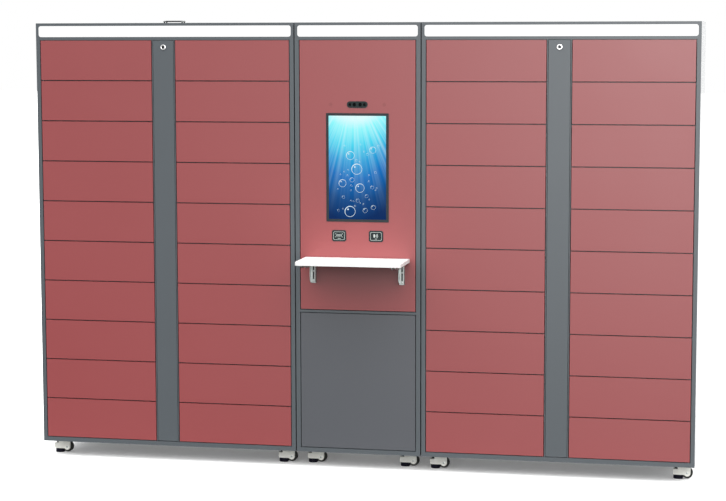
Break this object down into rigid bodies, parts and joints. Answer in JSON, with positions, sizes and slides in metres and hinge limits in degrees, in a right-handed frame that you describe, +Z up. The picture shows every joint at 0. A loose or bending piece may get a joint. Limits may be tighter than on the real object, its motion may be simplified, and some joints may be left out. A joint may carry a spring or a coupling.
{
  "type": "charging cabinet",
  "caption": "Wide steel charging cabinet: banks of hinged compartment doors beside a terminal cabinet with touch screen, card readers and fold-down shelf, on levelling casters.",
  "frame": {"origin": "on the floor, at the middle of the footprint with the shelf out", "axes": "+X to the right as seen from the front, +Y to the back, +Z up"},
  "size_m": [3.1, 0.725, 2.0845],
  "materials": {
    "door_red": "satin powder coat, fine texture",
    "frame_grey": "satin powder coat, fine texture",
    "lock_steel": "polished",
    "lock_black": "fine moulded texture",
    "outlet_white": "gloss",
    "light_diffuser": "opal, lit from behind",
    "cap_black": "moulded",
    "screen_glass": "display behind flat glass",
    "reader_black": "gloss",
    "bracket_steel": "bright zinc plate",
    "board_white": "laminate",
    "caster_cream": "moulded",
    "caster_black": "moulded"
  },
  "bodies": {
    "cabinets": {"left_carcass": "frame_grey", "centre_carcass": "frame_grey", "right_carcass": "frame_grey", "door_locks": "lock_black", "power_outlets": "outlet_white", "header_lights": "light_diffuser", "roof_cap": "cap_black", "caster_housings": "caster_cream", "caster_wheels_and_feet": "caster_black"},
    "door_a01": {"door_a01": "door_red"},
    "door_a02": {"door_a02": "door_red"},
    "door_a03": {"door_a03": "door_red"},
    "door_a04": {"door_a04": "door_red"},
    "door_a05": {"door_a05": "door_red"},
    "door_a06": {"door_a06": "door_red"},
    "door_a07": {"door_a07": "door_red"},
    "door_a08": {"door_a08": "door_red"},
    "door_a09": {"door_a09": "door_red"},
    "door_a10": {"door_a10": "door_red"},
    "door_b01": {"door_b01": "door_red"},
    "door_b02": {"door_b02": "door_red"},
    "door_b03": {"door_b03": "door_red"},
    "door_b04": {"door_b04": "door_red"},
    "door_b05": {"door_b05": "door_red"},
    "door_b06": {"door_b06": "door_red"},
    "door_b07": {"door_b07": "door_red"},
    "door_b08": {"door_b08": "door_red"},
    "door_b09": {"door_b09": "door_red"},
    "door_b10": {"door_b10": "door_red"},
    "door_c01": {"door_c01": "door_red"},
    "door_c02": {"door_c02": "door_red"},
    "door_c03": {"door_c03": "door_red"},
    "door_c04": {"door_c04": "door_red"},
    "door_c05": {"door_c05": "door_red"},
    "door_c06": {"door_c06": "door_red"},
    "door_c07": {"door_c07": "door_red"},
    "door_c08": {"door_c08": "door_red"},
    "door_c09": {"door_c09": "door_red"},
    "door_c10": {"door_c10": "door_red"},
    "door_d01": {"door_d01": "door_red"},
    "door_d02": {"door_d02": "door_red"},
    "door_d03": {"door_d03": "door_red"},
    "door_d04": {"door_d04": "door_red"},
    "door_d05": {"door_d05": "door_red"},
    "door_d06": {"door_d06": "door_red"},
    "door_d07": {"door_d07": "door_red"},
    "door_d08": {"door_d08": "door_red"},
    "door_d09": {"door_d09": "door_red"},
    "door_d10": {"door_d10": "door_red"},
    "terminal": {"terminal_door": "door_red", "touch_screen": "screen_glass", "reader_modules": "reader_black", "shelf_brackets": "bracket_steel"},
    "lower_door": {"lower_door": "frame_grey"},
    "shelf": {"shelf_arms": "bracket_steel", "shelf_board": "board_white"},
    "left_cover": {"left_strip": "frame_grey"},
    "left_cover_lock": {"left_strip_lock": "lock_steel"},
    "right_cover": {"right_strip": "frame_grey"},
    "right_cover_lock": {"right_strip_lock": "lock_steel"}
  },
  "joints": [
    {"name": "terminal_door_hinge", "type": "hinge", "parent": "cabinets", "child": "terminal", "pos_m": [-0.2635, -0.1305, 1.371], "axis": [0, 0, -1], "range_deg": [0, 90]},
    {"name": "lower_door_hinge", "type": "hinge", "parent": "cabinets", "child": "lower_door", "pos_m": [-0.2635, -0.1305, 0.413], "axis": [0, 0, -1], "range_deg": [0, 90]},
    {"name": "shelf_fold", "type": "hinge", "parent": "terminal", "child": "shelf", "pos_m": [0, -0.1505, 0.967], "axis": [1, 0, 0], "range_deg": [0, 90]},
    {"name": "left_cover_tilt", "type": "hinge", "parent": "cabinets", "child": "left_cover", "pos_m": [-0.9245, -0.13125, 0.0938], "axis": [1, 0, 0], "range_deg": [0, 20]},
    {"name": "left_cover_lock_turn", "type": "hinge", "parent": "left_cover", "child": "left_cover_lock", "pos_m": [-0.9245, -0.1375, 1.9605], "axis": [0, 1, 0], "range_deg": [-90, 0]},
    {"name": "right_cover_tilt", "type": "hinge", "parent": "cabinets", "child": "right_cover", "pos_m": [0.9245, -0.13125, 0.0938], "axis": [1, 0, 0], "range_deg": [0, 20]},
    {"name": "right_cover_lock_turn", "type": "hinge", "parent": "right_cover", "child": "right_cover_lock", "pos_m": [0.9245, -0.1375, 1.9605], "axis": [0, 1, 0], "range_deg": [-90, 0]},
    {"name": "door_a01_hinge", "type": "hinge", "parent": "cabinets", "child": "door_a01", "pos_m": [-1.5205, -0.1305, 1.8995], "axis": [0, 0, -1], "range_deg": [0, 100]},
    {"name": "door_a02_hinge", "type": "hinge", "parent": "cabinets", "child": "door_a02", "pos_m": [-1.5205, -0.1305, 1.7095], "axis": [0, 0, -1], "range_deg": [0, 100]},
    {"name": "door_a03_hinge", "type": "hinge", "parent": "cabinets", "child": "door_a03", "pos_m": [-1.5205, -0.1305, 1.5195], "axis": [0, 0, -1], "range_deg": [0, 100]},
    {"name": "door_a04_hinge", "type": "hinge", "parent": "cabinets", "child": "door_a04", "pos_m": [-1.5205, -0.1305, 1.3295], "axis": [0, 0, -1], "range_deg": [0, 100]},
    {"name": "door_a05_hinge", "type": "hinge", "parent": "cabinets", "child": "door_a05", "pos_m": [-1.5205, -0.1305, 1.1395], "axis": [0, 0, -1], "range_deg": [0, 100]},
    {"name": "door_a06_hinge", "type": "hinge", "parent": "cabinets", "child": "door_a06", "pos_m": [-1.5205, -0.1305, 0.9495], "axis": [0, 0, -1], "range_deg": [0, 100]},
    {"name": "door_a07_hinge", "type": "hinge", "parent": "cabinets", "child": "door_a07", "pos_m": [-1.5205, -0.1305, 0.7595], "axis": [0, 0, -1], "range_deg": [0, 100]},
    {"name": "door_a08_hinge", "type": "hinge", "parent": "cabinets", "child": "door_a08", "pos_m": [-1.5205, -0.1305, 0.5695], "axis": [0, 0, -1], "range_deg": [0, 100]},
    {"name": "door_a09_hinge", "type": "hinge", "parent": "cabinets", "child": "door_a09", "pos_m": [-1.5205, -0.1305, 0.3795], "axis": [0, 0, -1], "range_deg": [0, 100]},
    {"name": "door_a10_hinge", "type": "hinge", "parent": "cabinets", "child": "door_a10", "pos_m": [-1.5205, -0.1305, 0.1895], "axis": [0, 0, -1], "range_deg": [0, 100]},
    {"name": "door_b01_hinge", "type": "hinge", "parent": "cabinets", "child": "door_b01", "pos_m": [-0.3285, -0.1305, 1.8995], "axis": [0, 0, 1], "range_deg": [0, 90]},
    {"name": "door_b02_hinge", "type": "hinge", "parent": "cabinets", "child": "door_b02", "pos_m": [-0.3285, -0.1305, 1.7095], "axis": [0, 0, 1], "range_deg": [0, 90]},
    {"name": "door_b03_hinge", "type": "hinge", "parent": "cabinets", "child": "door_b03", "pos_m": [-0.3285, -0.1305, 1.5195], "axis": [0, 0, 1], "range_deg": [0, 90]},
    {"name": "door_b04_hinge", "type": "hinge", "parent": "cabinets", "child": "door_b04", "pos_m": [-0.3285, -0.1305, 1.3295], "axis": [0, 0, 1], "range_deg": [0, 90]},
    {"name": "door_b05_hinge", "type": "hinge", "parent": "cabinets", "child": "door_b05", "pos_m": [-0.3285, -0.1305, 1.1395], "axis": [0, 0, 1], "range_deg": [0, 90]},
    {"name": "door_b06_hinge", "type": "hinge", "parent": "cabinets", "child": "door_b06", "pos_m": [-0.3285, -0.1305, 0.9495], "axis": [0, 0, 1], "range_deg": [0, 90]},
    {"name": "door_b07_hinge", "type": "hinge", "parent": "cabinets", "child": "door_b07", "pos_m": [-0.3285, -0.1305, 0.7595], "axis": [0, 0, 1], "range_deg": [0, 90]},
    {"name": "door_b08_hinge", "type": "hinge", "parent": "cabinets", "child": "door_b08", "pos_m": [-0.3285, -0.1305, 0.5695], "axis": [0, 0, 1], "range_deg": [0, 90]},
    {"name": "door_b09_hinge", "type": "hinge", "parent": "cabinets", "child": "door_b09", "pos_m": [-0.3285, -0.1305, 0.3795], "axis": [0, 0, 1], "range_deg": [0, 90]},
    {"name": "door_b10_hinge", "type": "hinge", "parent": "cabinets", "child": "door_b10", "pos_m": [-0.3285, -0.1305, 0.1895], "axis": [0, 0, 1], "range_deg": [0, 90]},
    {"name": "door_c01_hinge", "type": "hinge", "parent": "cabinets", "child": "door_c01", "pos_m": [0.3285, -0.1305, 1.8995], "axis": [0, 0, -1], "range_deg": [0, 90]},
    {"name": "door_c02_hinge", "type": "hinge", "parent": "cabinets", "child": "door_c02", "pos_m": [0.3285, -0.1305, 1.7095], "axis": [0, 0, -1], "range_deg": [0, 90]},
    {"name": "door_c03_hinge", "type": "hinge", "parent": "cabinets", "child": "door_c03", "pos_m": [0.3285, -0.1305, 1.5195], "axis": [0, 0, -1], "range_deg": [0, 90]},
    {"name": "door_c04_hinge", "type": "hinge", "parent": "cabinets", "child": "door_c04", "pos_m": [0.3285, -0.1305, 1.3295], "axis": [0, 0, -1], "range_deg": [0, 90]},
    {"name": "door_c05_hinge", "type": "hinge", "parent": "cabinets", "child": "door_c05", "pos_m": [0.3285, -0.1305, 1.1395], "axis": [0, 0, -1], "range_deg": [0, 90]},
    {"name": "door_c06_hinge", "type": "hinge", "parent": "cabinets", "child": "door_c06", "pos_m": [0.3285, -0.1305, 0.9495], "axis": [0, 0, -1], "range_deg": [0, 90]},
    {"name": "door_c07_hinge", "type": "hinge", "parent": "cabinets", "child": "door_c07", "pos_m": [0.3285, -0.1305, 0.7595], "axis": [0, 0, -1], "range_deg": [0, 90]},
    {"name": "door_c08_hinge", "type": "hinge", "parent": "cabinets", "child": "door_c08", "pos_m": [0.3285, -0.1305, 0.5695], "axis": [0, 0, -1], "range_deg": [0, 90]},
    {"name": "door_c09_hinge", "type": "hinge", "parent": "cabinets", "child": "door_c09", "pos_m": [0.3285, -0.1305, 0.3795], "axis": [0, 0, -1], "range_deg": [0, 90]},
    {"name": "door_c10_hinge", "type": "hinge", "parent": "cabinets", "child": "door_c10", "pos_m": [0.3285, -0.1305, 0.1895], "axis": [0, 0, -1], "range_deg": [0, 90]},
    {"name": "door_d01_hinge", "type": "hinge", "parent": "cabinets", "child": "door_d01", "pos_m": [1.5205, -0.1305, 1.8995], "axis": [0, 0, 1], "range_deg": [0, 100]},
    {"name": "door_d02_hinge", "type": "hinge", "parent": "cabinets", "child": "door_d02", "pos_m": [1.5205, -0.1305, 1.7095], "axis": [0, 0, 1], "range_deg": [0, 100]},
    {"name": "door_d03_hinge", "type": "hinge", "parent": "cabinets", "child": "door_d03", "pos_m": [1.5205, -0.1305, 1.5195], "axis": [0, 0, 1], "range_deg": [0, 100]},
    {"name": "door_d04_hinge", "type": "hinge", "parent": "cabinets", "child": "door_d04", "pos_m": [1.5205, -0.1305, 1.3295], "axis": [0, 0, 1], "range_deg": [0, 100]},
    {"name": "door_d05_hinge", "type": "hinge", "parent": "cabinets", "child": "door_d05", "pos_m": [1.5205, -0.1305, 1.1395], "axis": [0, 0, 1], "range_deg": [0, 100]},
    {"name": "door_d06_hinge", "type": "hinge", "parent": "cabinets", "child": "door_d06", "pos_m": [1.5205, -0.1305, 0.9495], "axis": [0, 0, 1], "range_deg": [0, 100]},
    {"name": "door_d07_hinge", "type": "hinge", "parent": "cabinets", "child": "door_d07", "pos_m": [1.5205, -0.1305, 0.7595], "axis": [0, 0, 1], "range_deg": [0, 100]},
    {"name": "door_d08_hinge", "type": "hinge", "parent": "cabinets", "child": "door_d08", "pos_m": [1.5205, -0.1305, 0.5695], "axis": [0, 0, 1], "range_deg": [0, 100]},
    {"name": "door_d09_hinge", "type": "hinge", "parent": "cabinets", "child": "door_d09", "pos_m": [1.5205, -0.1305, 0.3795], "axis": [0, 0, 1], "range_deg": [0, 100]},
    {"name": "door_d10_hinge", "type": "hinge", "parent": "cabinets", "child": "door_d10", "pos_m": [1.5205, -0.1305, 0.1895], "axis": [0, 0, 1], "range_deg": [0, 100]}
  ]
}
